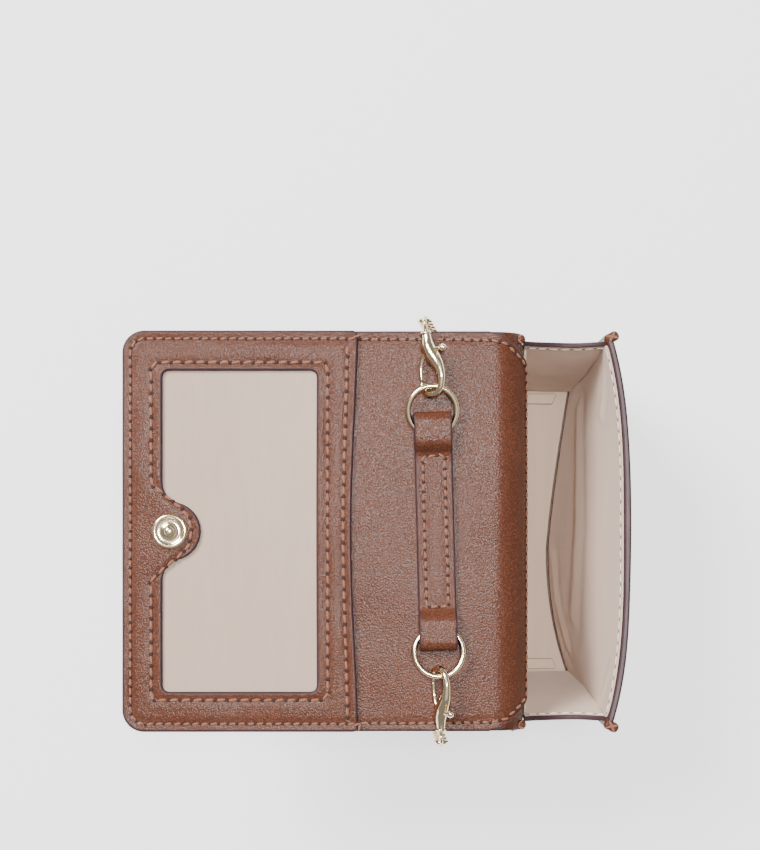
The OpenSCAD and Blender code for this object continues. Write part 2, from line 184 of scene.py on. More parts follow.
def move(shape, where):
    """Moves each vertex to where it belongs."""
    for vert in shape.verts:
        vert.co = where(vert.co)


def close_to(spots, path):
    """Distance from each of the spots to a path of points, seen from above."""
    spots = np.atleast_2d(np.array(spots, float))[:, :2]
    best = np.full(len(spots), 1e9)
    for start, end in zip(path, path[1:]):
        start, run = np.array(start[:2], float), np.array(end[:2], float) - np.array(start[:2], float)
        share = np.clip((spots - start) @ run / max(run @ run, 1e-9), 0, 1)
        best = np.minimum(best, np.linalg.norm(spots - start - share[:, None] * run, axis=1))
    return best


def press(shape, rows, deep, above, wide=0.85):
    """Presses the upper surface down along rows of stitches."""
    tops = [v for v in shape.verts if v.co.z > above]
    spots = [v.co[:2] for v in tops]
    away = np.min([close_to(spots, row) for row in rows], axis=0)
    for vert, gap in zip(tops, away):
        vert.co.z -= deep * math.exp(-(gap / wide) ** 2)


def soft_wave(point, size, height, seed=0.0, still=None):
    """A slow unevenness of hand-made leather and cloth, which dies out towards x = still."""
    share = 1 if still is None else min(1, abs(point.x - still) / 12)
    return share * height * noise.noise(Vector((point.x / size, point.y / size, seed)))


def spaced(path, pitch, closed=False):
    """Places (point, direction) one pitch apart along a path."""
    points = [Vector(p) for p in path]
    if closed:
        points.append(points[0])
    lengths = [(b - a).length for a, b in zip(points, points[1:])]
    total = sum(lengths)
    count = max(1, round(total / pitch))
    step = total / count
    places, i, done = [], 0, 0.0
    for k in range(count):
        target = (k + 0.5) * step
        while i < len(lengths) - 1 and done + lengths[i] < target:
            done += lengths[i]
            i += 1
        way = (points[i + 1] - points[i]) / max(lengths[i], 1e-9)
        places.append((points[i] + way * (target - done), way))
    return places, step


def small_mesh(name, shape):
    """A mesh that is repeated many times in a piece."""
    mesh = bpy.data.meshes.new(name)
    shape.to_mesh(mesh)
    shape.free()
    return mesh


def ball(across, around):
    shape = bmesh.new()
    bmesh.ops.create_uvsphere(shape, u_segments=around, v_segments=across, radius=1)
    return shape


one_stitch = small_mesh("one_stitch", ball(5, 7))
one_hole = small_mesh("one_hole", ball(4, 8))


def place_copy(shape, mesh, matrix, finish=0):
    """Adds a small mesh to a shape at a place."""
    first_vert, first_face = len(shape.verts), len(shape.faces)
    shape.from_mesh(mesh)
    shape.verts.ensure_lookup_table()
    shape.faces.ensure_lookup_table()
    bmesh.ops.transform(shape, matrix=matrix, verts=shape.verts[first_vert:])
    for face in shape.faces[first_face:]:
        face.material_index = finish


def sew(shape, path, height, pitch, thick=0.55, closed=False, side=1, slant=7.0, fill=0.74):
    """Adds a row of stitches and needle holes on a level path; the holes are flat near-black spots, painted shade. side
    is -1 for the underside.
    """
    places, step = spaced(path, pitch, closed)
    for point, way in places:
        turn = math.atan2(way.y, way.x) + math.radians(slant)
        lie = Matrix.Rotation(turn, 4, "Z") @ Matrix.Rotation(math.pi / 2, 4, "Y")
        size = Matrix.Diagonal((thick * 0.45, thick * 0.56, step * fill / 2, 1))
        place_copy(shape, one_stitch, Matrix.Translation((point.x, point.y, height + side * 0.08)) @ lie @ size)
        spot = point - way * step / 2
        size = Matrix.Diagonal((thick * 0.85, thick * 0.8, 0.14, 1))
        place_copy(shape, one_hole, Matrix.Translation((spot.x, spot.y, height + side * 0.02)) @ size, 1)


def tube(path, radii, resolution=5, sides=2):
    """A wire or sculpted bar swept along a path, with a radius at each point."""
    curve = bpy.data.curves.new("wire", "CURVE")
    curve.dimensions = "3D"
    curve.twist_mode = "MINIMUM"
    curve.bevel_depth = 1.0
    curve.bevel_resolution = sides
    curve.use_fill_caps = True
    curve.resolution_u = resolution
    spline = curve.splines.new("BEZIER")
    spline.bezier_points.add(len(path) - 1)
    for knot, place, radius in zip(spline.bezier_points, path, radii):
        knot.co = place
        knot.handle_left_type = knot.handle_right_type = "AUTO"
        knot.radius = radius
    holder = bpy.data.objects.new("wire", curve)
    bpy.context.scene.collection.objects.link(holder)
    bpy.context.view_layer.update()
    mesh = bpy.data.meshes.new_from_object(holder.evaluated_get(bpy.context.evaluated_depsgraph_get()))
    shape = bmesh.new()
    shape.from_mesh(mesh)
    bpy.data.objects.remove(holder)
    bpy.data.curves.remove(curve)
    bpy.data.meshes.remove(mesh)
    bmesh.ops.remove_doubles(shape, verts=shape.verts, dist=1e-4)
    bmesh.ops.recalc_face_normals(shape, faces=shape.faces)
    return shape


def ring_shape(middle_r, wire_r, around=48, section=12):
    """A closed wire ring about Z."""
    shape = bmesh.new()
    bmesh.ops.create_circle(shape, segments=section, radius=wire_r, matrix=Matrix.Translation((middle_r, 0, 0)) @ Matrix.Rotation(math.pi / 2, 4, "X"))
    bmesh.ops.spin(shape, geom=shape.verts[:] + shape.edges[:], cent=(0, 0, 0), axis=up, angle=2 * math.pi, steps=around, use_merge=True)
    bmesh.ops.remove_doubles(shape, verts=shape.verts, dist=1e-4)
    bmesh.ops.recalc_face_normals(shape, faces=shape.faces)
    return shape


def turned(profile, around=48):
    """A turned shape about Z from (radius, height) points; ends on the axis are closed."""
    shape = bmesh.new()
    verts = [shape.verts.new((r, 0, z)) for r, z in profile]
    for a, b in zip(verts, verts[1:]):
        shape.edges.new((a, b))
    bmesh.ops.spin(shape, geom=shape.verts[:] + shape.edges[:], cent=(0, 0, 0), axis=up, angle=2 * math.pi, steps=around, use_merge=True)
    bmesh.ops.remove_doubles(shape, verts=shape.verts, dist=1e-4)
    bmesh.ops.recalc_face_normals(shape, faces=shape.faces)
    return shape


def add(shape, other, matrix=None):
    """Adds another shape's faces to a shape."""
    if matrix:
        bmesh.ops.transform(other, matrix=matrix, verts=other.verts)
        if matrix.to_3x3().determinant() < 0:
            bmesh.ops.reverse_faces(other, faces=other.faces)
    mesh = bpy.data.meshes.new("part")
    other.to_mesh(mesh)
    other.free()
    shape.from_mesh(mesh)
    bpy.data.meshes.remove(mesh)
    return shape


# ---- materials ----
class Finish:
    """A material under construction, with its nodes."""

    def __init__(self, name, **sockets):
        self.material = bpy.data.materials.new(name)
        self.material.use_nodes = True
        self.tree = self.material.node_tree
        self.shader = self.tree.nodes["Principled BSDF"]
        for socket, value in sockets.items():
            self.shader.inputs[socket.replace("_", " ")].default_value = value
        self.place = self.tree.nodes.new("ShaderNodeTexCoord").outputs["Object"]

    def node(self, kind, settings=(), **inputs):
        made = self.tree.nodes.new("ShaderNode" + kind)
        for key, value in settings:
            setattr(made, key, value)
        for key, value in inputs.items():
            socket = made.inputs[int(key[1:])] if key[0] == "i" and key[1:].isdigit() else made.inputs[key.replace("_", " ")]
            if isinstance(value, bpy.types.NodeSocket):
                self.tree.links.new(value, socket)
            else:
                socket.default_value = value
        return made

    def noise(self, scale, detail=3.0, roughness=0.5, vector=None):
        return self.node("TexNoise", Vector=vector or self.place, Scale=scale, Detail=detail, Roughness=roughness).outputs["Fac"]

    def cells(self, scale, feature="F1", smooth=0.0, vector=None):
        made = self.node("TexVoronoi", [("feature", feature)], Vector=vector or self.place, Scale=scale)
        if feature == "SMOOTH_F1":
            made.inputs["Smoothness"].default_value = smooth
        return made.outputs["Distance"]

    def maths(self, operation, a, b=0.0, c=0.0):
        return self.node("Math", [("operation", operation)], i0=a, i1=b, i2=c).outputs[0]

    def ramp(self, value, stops):
        made = self.node("ValToRGB", Fac=value)
        ramp = made.color_ramp
        while len(ramp.elements) < len(stops):
            ramp.elements.new(0.5)
        for element, (place, colour) in zip(ramp.elements, stops):
            element.position = place
            element.color = (*colour, 1)
        return made.outputs["Color"]

    def blend(self, share, first, second, mode="MIX"):
        made = self.node("Mix", [("data_type", "RGBA"), ("blend_type", mode)])
        for socket, value in ((made.inputs[0], share), (made.inputs[6], first), (made.inputs[7], second)):
            if isinstance(value, bpy.types.NodeSocket):
                self.tree.links.new(value, socket)
            else:
                socket.default_value = (*value, 1) if isinstance(value, tuple) else value
        return made.outputs[2]

    def stripes(self, across, pitch):
        """Waves from 0 to 1 with their crests one pitch apart along a direction."""
        along = self.node("VectorMath", [("operation", "DOT_PRODUCT")], i0=self.place, i1=across).outputs["Value"]
        turn = self.maths("SINE", self.maths("MULTIPLY", along, 2 * math.pi / pitch))
        return self.maths("MULTIPLY_ADD", turn, 0.5, 0.5)

    def colour(self, value):
        self.tree.links.new(value, self.shader.inputs["Base Color"])

    def rough(self, value, low, high):
        span = self.node("MapRange", Value=value, To_Min=low, To_Max=high).outputs["Result"]
        self.tree.links.new(span, self.shader.inputs["Roughness"])

    def bump(self, height, distance, strength=1.0):
        normal = self.shader.inputs["Normal"]
        inputs = dict(Height=height, Distance=distance, Strength=strength)
        if normal.is_linked:
            inputs["Normal"] = normal.links[0].from_socket
        made = self.node("Bump", **inputs)
        self.tree.links.new(made.outputs["Normal"], normal)


def leather_finish(name, light, dark, grain):
    """Pebbled leather: soft cells a fraction of a millimetre across, shinier on top, with slow colour drift; the pebble
    tops are painted lighter and the valleys darker, a painted glint and shade of the grain.
    """
    finish = Finish(name, Roughness=0.45, Specular_IOR_Level=0.145)
    stray = finish.node("TexNoise", Vector=finish.place, Scale=1100.0).outputs["Color"]
    warped = finish.node("VectorMath", [("operation", "MULTIPLY_ADD")], i0=stray, i1=(0.00035,) * 3, i2=finish.place).outputs["Vector"]
    pebbles = finish.cells(2250.0, "SMOOTH_F1", 0.3, warped)
    clumps = finish.cells(1300.0, "SMOOTH_F1", 0.8, warped)
    fine = finish.noise(6500.0, 2.0)
    drift = finish.noise(45.0, 4.0)
    base = finish.blend(drift, dark, light)
    # Pebble tops lighter and valleys darker in the colour: painted glint and shade of the grain.
    grain_glint_and_shade = finish.ramp(pebbles, [(0.1, (1.5, 1.5, 1.5)), (0.62, (0.50, 0.48, 0.46))])
    finish.colour(finish.blend(0.8, base, grain_glint_and_shade, "MULTIPLY"))
    finish.rough(pebbles, 0.19, 0.33)
    finish.bump(pebbles, -grain)
    finish.bump(clumps, -grain * 0.6)
    finish.bump(fine, grain * 0.12)
    return finish.material


def paint_finish(name, dark, light):
    """Painted leather edge, with the faint lines of the layers under it."""
    finish = Finish(name, Roughness=0.5, Specular_IOR_Level=0.22)
    drift = finish.noise(160.0, 3.0)
    finish.colour(finish.blend(drift, dark, light))
    finish.bump(finish.noise(900.0, 3.0), 0.00008)
    return finish.material


def thread_finish(name, light, dark):
    """Twisted thread: slanting strands across each stitch."""
    finish = Finish(name, Roughness=0.6, Sheen_Weight=0.3)
    strands = finish.stripes((0.6, 0.6, 0.53), 0.00038)
    finish.colour(finish.blend(strands, dark, light))
    finish.bump(strands, 0.00006)
    finish.bump(finish.noise(6000.0, 2.0), 0.00003)
    return finish.material


def cloth_finish(name, ribs, cross, light=(0.64, 0.485, 0.375), dark=(0.56, 0.41, 0.31)):
    """Fine ribbed lining cloth. ribs and cross are the two directions counted across the threads."""
    finish = Finish(name, Roughness=0.85, Sheen_Weight=0.25, Sheen_Roughness=0.5, Specular_IOR_Level=0.25)
    rib = finish.stripes(ribs, 0.00046)
    weft = finish.stripes(cross, 0.00031)
    slub = finish.noise(420.0, 3.0, vector=finish.node("Mapping", Vector=finish.place, Scale=(1.0, 0.12, 1.0)).outputs["Vector"])
    weave = finish.maths("ADD", rib, finish.maths("MULTIPLY", weft, 0.45))
    tone = finish.blend(slub, dark, light)
    finish.colour(finish.blend(finish.maths("MULTIPLY", rib, 0.2), tone, light))
    finish.bump(weave, 0.00002)
    finish.bump(slub, 0.00008)
    return finish.material


def metal_finish(name, colour, rough):
    """Polished plate with faint handling marks."""
    finish = Finish(name, Metallic=1.0, Roughness=rough)
    marks = finish.noise(700.0, 4.0, 0.6)
    finish.colour(finish.blend(finish.noise(120.0, 2.0), colour, tuple(c * 0.93 for c in colour)))
    finish.rough(marks, rough * 0.7, rough * 1.5)
    finish.bump(marks, 0.00001)
    return finish.material


outer_leather = leather_finish("outer_leather", (0.116, 0.041, 0.0235), (0.090, 0.030, 0.0165), 0.00007)
inner_leather = leather_finish("inner_leather", (0.116, 0.041, 0.0235), (0.090, 0.030, 0.0165), 0.000064)
painted_edge = paint_finish("painted_edge", (0.028, 0.011, 0.014), (0.052, 0.026, 0.031))
# Lighter edge paint for the up-facing middle of the front wall's rim: a painted highlight of the overhead light on the
# rounded edge.
painted_rim_highlight = paint_finish("painted_rim_highlight", (0.08, 0.055, 0.06), (0.125, 0.09, 0.095))
tan_thread = thread_finish("tan_thread", (0.29, 0.098, 0.042), (0.16, 0.05, 0.021))
cream_thread = thread_finish("cream_thread", (0.80, 0.72, 0.62), (0.62, 0.53, 0.43))
window_cloth = cloth_finish("window_cloth", (1, 0, 0), (0, 1, 0), (0.43, 0.31, 0.233), (0.38, 0.265, 0.197))
base_cloth = cloth_finish("base_cloth", (1, 0, 0), (0, 1, 0))
wall_cloth = cloth_finish("wall_cloth", (0, 1, 0), (0.35, 0, 1))
gusset_cloth = cloth_finish("gusset_cloth", (1, 0, 0.1), (0, 0.25, 1))
pale_gold = metal_finish("pale_gold", (0.95, 0.78, 0.52), 0.13)
plain_steel = metal_finish("plain_steel", (0.56, 0.55, 0.53), 0.3)

# Needle holes on leather: near-black spots, painted shade where the holes fall dark.
needle_hole_shade = Finish("needle_hole_shade", Roughness=0.9)
needle_hole_shade.colour(needle_hole_shade.blend(needle_hole_shade.noise(900.0), (0.020, 0.005, 0.003), (0.045, 0.012, 0.007)))
# Needle holes in cloth, and the sides of the seam strips: darker cloth, painted shade.
cloth_hole_shade = Finish("cloth_hole_shade", Roughness=0.9)
cloth_hole_shade.colour(cloth_hole_shade.blend(cloth_hole_shade.noise(900.0), (0.16, 0.11, 0.08), (0.22, 0.16, 0.12)))
board = Finish("board", Roughness=0.8)
board.colour(board.blend(board.noise(500.0), (0.30, 0.24, 0.17), (0.38, 0.31, 0.23)))
board.bump(board.noise(1500.0), 0.00005)
film = Finish("film", Roughness=0.12, Alpha=0.05, Base_Color=(0.85, 0.78, 0.70, 1), IOR=1.45)
film.bump(film.noise(60.0, 2.0), 0.0003)
film.rough(film.noise(300.0), 0.2, 0.32)

# Stitch rows: thread, then the needle holes in painted shade.
tan_rows = [tan_thread, needle_hole_shade.material]
cream_rows = [cream_thread, cloth_hole_shade.material]


# ---- chain ----
link_wire, link_width, link_length, link_pitch = 0.56, 4.2, 5.7, 3.55
lead_a = [(-39.2, 57.8, 82.6), (-38.6, 57.8, 76), (-37.3, 57.8, 64), (-35.4, 57.8, 46), (-33.5, 57.8, 28), (-31.7, 57.8, 10)]
lead_b = [(-34.6, -57.9, 82.6), (-34.7, -57.9, 76), (-34.8, -57.9, 64), (-35, -57.9, 46), (-35.3, -57.9, 28), (-35.5, -57.9, 10)]
run_a = [(-31.7, 57.8, 8.2), (-32, 57.5, 5.2), (-33.6, 56.2, 2.8), (-38, 52.6, 2.1), (-45, 47, 2.1), (-53, 40.4, 2.1), (-61, 34, 2.1)]
run_b = [(-35.5, -57.9, 8.2), (-35.8, -57.6, 5.2), (-37.8, -56, 2.8), (-42, -52.4, 2.1), (-48, -47, 2.6), (-54.5, -40.4, 4.2), (-62, -34, 6)]
coil_x, coil_out, coil_in, coil_turns = -72.0, 31.0, 19.8, 5.5


def smooth_path(points, step=2.0):
    """A smooth line through points, with a point at every step."""
    spots = [Vector(p) for p in points]
    spots = [2 * spots[0] - spots[1], *spots, 2 * spots[-1] - spots[-2]]
    path = []
    for before, a, b, after in zip(spots, spots[1:], spots[2:], spots[3:]):
        count = max(1, round((b - a).length / step))
        for k in range(count):
            t = k / count
            path.append(0.5 * (2 * a + (b - before) * t + (2 * before - 5 * a + 4 * b - after) * t * t
                               + (3 * a - before - 3 * b + after) * t ** 3))
    return path + [spots[-2]]


def coil_path():
    """Round and in on the floor, up one chain's width, and back out on top."""
    points = []
    steps = 132
    half = (coil_turns - 0.3) / 2
    for k in range(steps + 1):
        turn = coil_turns * k / steps
        if turn < half:
            radius, height = coil_out - (coil_out - coil_in) * turn / half, 2.1
        elif turn < half + 0.3:
            radius, height = coil_in, 2.1 + 4.3 * (turn - half) / 0.3
        else:
            radius, height = coil_in + (coil_out - coil_in) * (turn - half - 0.3) / half, 6.4
        angle = math.pi / 2 + 2 * math.pi * turn
        points.append(Vector((coil_x + radius * math.cos(angle), radius * math.sin(angle), height)))
    return points


def chain(name, path, body, nodes, first_turn=45.0):
    """Oval links along a path, each turned a quarter from the last."""
    link = ring_shape(link_width / 2 - link_wire, link_wire, around=12, section=6)
    for vert in link.verts:
        vert.co.x += math.copysign((link_length - link_width) / 2, vert.co.x) if abs(vert.co.x) > 0.05 else 0
    one_link = bpy.data.meshes.new("one_link")
    link.to_mesh(one_link)
    link.free()
    shape = bmesh.new()
    places, _ = spaced(path, link_pitch)
    side = up if abs(places[0][1].z) < 0.9 else Vector((0, 1, 0))
    for k, (point, way) in enumerate(places):
        side = (side - way * side.dot(way)).normalized()
        lean = math.radians(first_turn + (90 if k % 2 else 0))
        across = Matrix.Rotation(lean, 3, way) @ side
        turn = Matrix((way, across.cross(way), across)).transposed().to_4x4()
        shape.from_mesh(one_link)
        bmesh.ops.transform(shape, matrix=Matrix.Translation(point) @ turn, verts=shape.verts[-len(one_link.vertices):])
    bpy.data.meshes.remove(one_link)
    made = piece(name, shape, [pale_gold], body)
    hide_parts(*nodes)
    way = [p * to_metres for p in path]
    return made


stored = smooth_path(run_a) + coil_path() + smooth_path(run_b[::-1])
chain("chain_coil_links", stored, "pocket", ["chain_run_a", "chain_run_b", "chain_coil"])
chain("chain_links_a", smooth_path(lead_a), "chain_lead_a", ["chain_lead_a"], 0.0)
chain("chain_links_b", smooth_path(lead_b), "chain_lead_b", ["chain_lead_b"], 0.0)


# ---- leather that runs from the pocket's back over the fold ----
back_end = (fold_z - wall_foot_z) + fold_mid_r * math.pi / 2 + (fold_x - mid_roof_x)


def over_back(spot):
    """Flat leather (run from the foot, width, depth) laid up the back wall and over the fold."""
    run, width, depth = spot
    rise = fold_z - wall_foot_z
    bend = fold_mid_r * math.pi / 2
    if run < rise:
        return Vector((fold_x + fold_mid_r + depth, width, wall_foot_z + run))
    if run < rise + bend:
        turn = (run - rise) / fold_mid_r
        reach = fold_mid_r + depth
        return Vector((fold_x + reach * math.cos(turn), width, fold_z + reach * math.sin(turn)))
    return Vector((fold_x - (run - rise - bend), width, fold_z + fold_mid_r + depth))


bend_start = fold_z - wall_foot_z


def over_fold(made, *nodes):
    if nodes:
        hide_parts(*nodes)
    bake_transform(made)


def over_front(made, *nodes):
    if nodes:
        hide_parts(*nodes)
    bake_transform(made)


stitch_inset = 2.3
back_outline = rounded_outline([(0, -50.5, 6), (7, -half_width, 6), (back_end + 3, -half_width, 0),
                                (back_end + 3, half_width, 0), (7, half_width, 6), (0, 50.5, 6)])
back_row = [(back_end, -half_width + stitch_inset), (9, -half_width + stitch_inset)]
shape = slab(back_outline, -1.2, 0, rim=0.3, step=1.6)
cut_end(shape, back_end, 1)
move(shape, lambda v: Vector((v.x, v.y, v.z + (soft_wave(v, 26, 0.25, 0, back_end) if v.z < -0.6 else 0))))
move(shape, over_back)
over_fold(piece("back_skin", shape, [outer_leather, painted_edge]), "back_panel_leather", "back_fold_leather", "roof_leather")

facing_start = bend_start + fold_mid_r * math.radians(13)
facing_outline = rounded_outline([(facing_start, -46.5, 2), (facing_start + 9.5, -54.2, 3), (facing_start + 13, -half_width, 3),
                                  (back_end + 3, -half_width, 0), (back_end + 3, half_width, 0), (facing_start + 13, half_width, 3),
                                  (facing_start + 9.5, 54.2, 3), (facing_start, 46.5, 2)])
facing_row = [(back_end, -52.7), (facing_start + 12, -52.4), (facing_start + 9, -51.6), (facing_start + 1.6, -45.6), (facing_start + 1.2, -38),
              (facing_start + 1.0, 0), (facing_start + 1.2, 38), (facing_start + 1.6, 45.6), (facing_start + 9, 51.6),
              (facing_start + 12, 52.4), (back_end, 52.7)]
shape = slab(facing_outline, 0, 1.5, rim=0.5, step=1.0)
cut_end(shape, back_end, 1)
press(shape, [facing_row], 0.2, 0.7)
move(shape, lambda v: Vector((v.x, v.y, v.z + (soft_wave(v, 18, 0.35, 3, back_end) if v.z > 0.7 else 0))))
move(shape, over_back)
over_fold(piece("back_facing_skin", shape, [inner_leather, painted_edge]), "back_fold_facing", "roof_facing")

shape = bmesh.new()
sew(shape, facing_row, 1.48, 2.5, 0.6)
for row in ([(x, s * y) for x, y in back_row] for s in (-1, 1)):
    sew(shape, row, -1.2, 2.5, 0.5, side=-1)
move(shape, over_back)
over_fold(piece("back_stitches", shape, tan_rows))

# ---- flap ----
flap_outline = rounded_outline([(mid_roof_x + 3, -half_width, 0), (mid_roof_x + 3, half_width, 0), (tip_x, half_width, 6), (tip_x, -half_width, 6)])
flap_row_full = [(mid_roof_x, -52.7)] + arc((tip_x + 6.3, -52.7 + 4), 4, -90, -180, 6) + arc((tip_x + 6.3, 52.7 - 4), 4, 180, 90, 6) + [(mid_roof_x, 52.7)]
shape = slab(flap_outline, flap_under, facing_under, rim=0.3, step=1.6)
cut_end(shape, mid_roof_x, 1)
move(shape, lambda v: Vector((v.x, v.y, v.z + (soft_wave(v, 26, 0.25, 7, mid_roof_x) if v.z < facing_under - 0.6 else 0))))
over_front(piece("flap_skin", shape, [outer_leather, painted_edge]), "flap_leather", "front_fold_leather")

shape = slab(flap_outline, facing_under, flap_top, rim=0.5, step=1.0)
cut_end(shape, mid_roof_x, 1)
press(shape, [flap_row_full], 0.2, flap_top - 0.7)
move(shape, lambda v: Vector((v.x, v.y, v.z + (soft_wave(v, 18, 0.35, 3, mid_roof_x) if v.z > flap_top - 0.7 else 0))))
over_front(piece("flap_facing_skin", shape, [inner_leather, painted_edge]), "flap_facing", "front_fold_facing")

shape = bmesh.new()
for s in (-1, 1):
    sew(shape, [(frame_edge_x + 0.6, s * 52.7), (mid_roof_x, s * 52.7)][::s], flap_top, 2.5, 0.6)
sew(shape, flap_row_full, flap_under, 2.5, 0.5, side=-1)
over_front(piece("flap_stitches", shape, tan_rows))

# ---- card window ----
left, right, side_y = window
tab_join = math.degrees(math.atan2(7.78, -106.64 - tab_x))
tab = (arc((left + tab_fillet, -13.3), tab_fillet, 180, 103.4, 6) + arc((tab_x, 0), tab_r, -tab_join, tab_join, 16)
       + arc((left + tab_fillet, 13.3), tab_fillet, -103.4, -180, 6))
window_hole = (arc((left + 1.8, side_y - 1.8), 1.8, 180, 90, 5) + arc((right - 1.8, side_y - 1.8), 1.8, 90, 0, 5)
               + arc((right - 1.8, -side_y + 1.8), 1.8, 0, -90, 5) + arc((left + 1.8, -side_y + 1.8), 1.8, -90, -180, 5) + tab)
frame_outline = rounded_outline([(frame_edge_x, -half_width, 1.5), (frame_edge_x, half_width, 1.5), (tip_x, half_width, 6), (tip_x, -half_width, 6)])


def frame_wave(x, y):
    """How far the frame layer's free edge strays: in at its middle, and a little up."""
    free = max(0.0, 1 - (frame_edge_x - x) / 14) ** 1.5
    middle = math.cos(math.pi * max(-1, min(1, y / 60)) / 2) ** 2
    return -1.9 * free * middle, 0.25 * free * middle


outer_row = [(frame_edge_x - 0.6, -52.7)] + arc((tip_x + 6.3, -48.7), 4, -90, -180, 6) + arc((tip_x + 6.3, 48.7), 4, 180, 90, 6) + [(frame_edge_x - 0.6, 52.7)]
edge_row = [(frame_edge_x - 2.8 + frame_wave(frame_edge_x - 2.8, y)[0] * 0.9, y) for y in range(-51, 52, 3)]
window_row = (arc((right + 0.6, -side_y + 0.2), 2.4, 0, -90, 3) + arc((left - 0.6, -side_y + 0.2), 2.4, -90, -180, 3)
              + [(left - 3.0, -15.5), (left - 2.7, -13.2)]
              + [(-110.2, -9.8), (-106.6, -7.0), (-103.9, -4.2), (-102.9, 0), (-103.9, 4.2), (-106.6, 7.0), (-110.2, 9.8)]
              + [(left - 2.7, 13.2), (left - 3.0, 15.5)] + arc((left - 0.6, side_y - 0.2), 2.4, 180, 90, 3) + arc((right + 0.6, side_y - 0.2), 2.4, 90, 0, 3))
window_loop = window_row + [window_row[0]]


def frame_surface(spot):
    """Lies the frame layer down, free and a little wavy at its mouth."""
    slide, lift = frame_wave(spot.x, spot.y)
    wave = soft_wave(spot, 12, 0.22, 11) if spot.z > flap_top + 0.85 else 0
    return Vector((spot.x + slide, spot.y, spot.z + lift + wave))


shape = slab(frame_outline, flap_top, frame_top, window_hole, rim=0.6, step=0.9)
straight_edge_row = [(frame_edge_x - 2.8, -51), (frame_edge_x - 2.8, 51)]
press(shape, [window_loop, outer_row, straight_edge_row], 0.32, flap_top + 0.85)
move(shape, frame_surface)
made = piece("window_frame", shape, [inner_leather, painted_edge], "flap_front")
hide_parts("id_frame")

shape = bmesh.new()
sew(shape, outer_row, frame_top - 0.14, 2.5, 0.6)
sew(shape, window_row, frame_top - 0.16, 3.2, 0.74, closed=True)
sew(shape, edge_row, frame_top - 0.14, 3.2, 0.74)
for x, y, turn in ((-57.8, -52.9, 20), (-57.0, -53.6, 75), (-57.6, 53.4, 15)):
    bmesh.ops.create_uvsphere(shape, u_segments=7, v_segments=5, radius=1,
                              matrix=Matrix.Translation((x, y, frame_top)) @ Matrix.Rotation(math.radians(turn), 4, "Z") @ Matrix.Diagonal((1.3, 0.3, 0.25, 1)))
move(shape, lambda v: Vector((v.x, v.y, v.z + frame_wave(v.x, v.y)[1] + soft_wave(v, 12, 0.22, 11))))
piece("window_stitches", shape, tan_rows, "flap_front")

backing_outline = rounded_outline([(left - 4, -side_y - 4, 1), (right + 4, -side_y - 4, 1), (right + 4, side_y + 4, 1), (left - 4, side_y + 4, 1)])
shape = slab(backing_outline, flap_top + 0.02, flap_top + 0.3, rim=0, step=2.0, sides=0)
move(shape, lambda v: Vector((v.x, v.y, v.z + soft_wave(v, 24, 0.16, 5) * (v.z > flap_top + 0.2))))
made = piece("window_backing", shape, [window_cloth], "flap_front")
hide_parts("id_backing")

shape = slab(backing_outline, flap_top + 0.5, flap_top + 0.66, rim=0, step=2.0, sides=0)
move(shape, lambda v: Vector((v.x, v.y, v.z + soft_wave(v, 20, 0.2, 9))))
made = piece("window_film", shape, [film.material], "flap_front")
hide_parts("id_film")

# ---- snap ----
snap_x = -108.9
stud = turned([(0, 2.8), (0.75, 2.75), (1.2, 2.5), (1.4, 2.1), (1.35, 1.5), (1.45, 1.32), (2.0, 1.3), (2.2, 1.2), (2.3, 0.92),
               (2.5, 0.85), (3.5, 0.88), (3.7, 1.05), (3.95, 1.18), (4.35, 1.2), (4.7, 1.0), (4.88, 0.6), (4.85, 0.1), (4.6, -0.1), (0, -0.1)], 64)
for k in range(28):
    turn = 2 * math.pi * k / 28
    bmesh.ops.create_uvsphere(stud, u_segments=6, v_segments=4, radius=1,
                              matrix=Matrix.Translation((3.0 * math.cos(turn), 3.0 * math.sin(turn), 0.84)) @ Matrix.Diagonal((0.2, 0.2, 0.1, 1)))
bmesh.ops.translate(stud, vec=(snap_x, 0, frame_top - 0.05), verts=stud.verts)
made = piece("snap_stud_disc", stud, [pale_gold], "flap_front")
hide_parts("snap_stud")

# ---- strap bar, rings ----
strap_frame = Matrix.Translation((mid_roof_x, 0, 0)) @ Matrix.Rotation(math.radians(1.5), 4, "Z")
strap_half, strap_w, skin = 32.7, 10.3, 1.1


def strap_line(s):
    """Middle line of the strip from the middle out, round the loop and back, as (along, height)."""
    loop_z, radius = 2.5, 1.95
    centre = strap_half - radius - skin / 2
    points = [(0, 0.56), (8, 0.56), (16, 0.56), (centre, 0.56)] + arc((centre, loop_z), radius, -80, 80, 8)
    points += [(centre, loop_z + radius), (26, 4.42), (24, 4.15), (22.8, 3.1), (22.0, 2.2), (21.2, 1.78), (8, 1.72), (0, 1.72)]
    return [(s * a, flap_top + b) for a, b in points]


shape = bmesh.new()
verts = [shape.verts.new((-strap_w / 2, a, b)) for a, b in strap_line(1) + strap_line(-1)[::-1][1:-1]]
rims = [shape.edges.new((verts[i - 1], verts[i])) for i in range(len(verts))]
made = bmesh.ops.extrude_edge_only(shape, edges=rims)
bmesh.ops.translate(shape, vec=(strap_w, 0, 0), verts=[g for g in made["geom"] if isinstance(g, bmesh.types.BMVert)])
bmesh.ops.recalc_face_normals(shape, faces=shape.faces)
shape.normal_update()
for vert in shape.verts:
    vert.co -= vert.normal * skin / 2
bmesh.ops.solidify(shape, geom=shape.faces[:], thickness=-skin)
bmesh.ops.recalc_face_normals(shape, faces=shape.faces)
sharp = [e for e in shape.edges if len(e.link_faces) == 2 and e.calc_face_angle() > 1]
bmesh.ops.bevel(shape, geom=sharp, affect="EDGES", offset=0.45, segments=3, profile=0.5, material=-1)
slice_up(shape, 0, -strap_w / 2, strap_w / 2, 1.0)
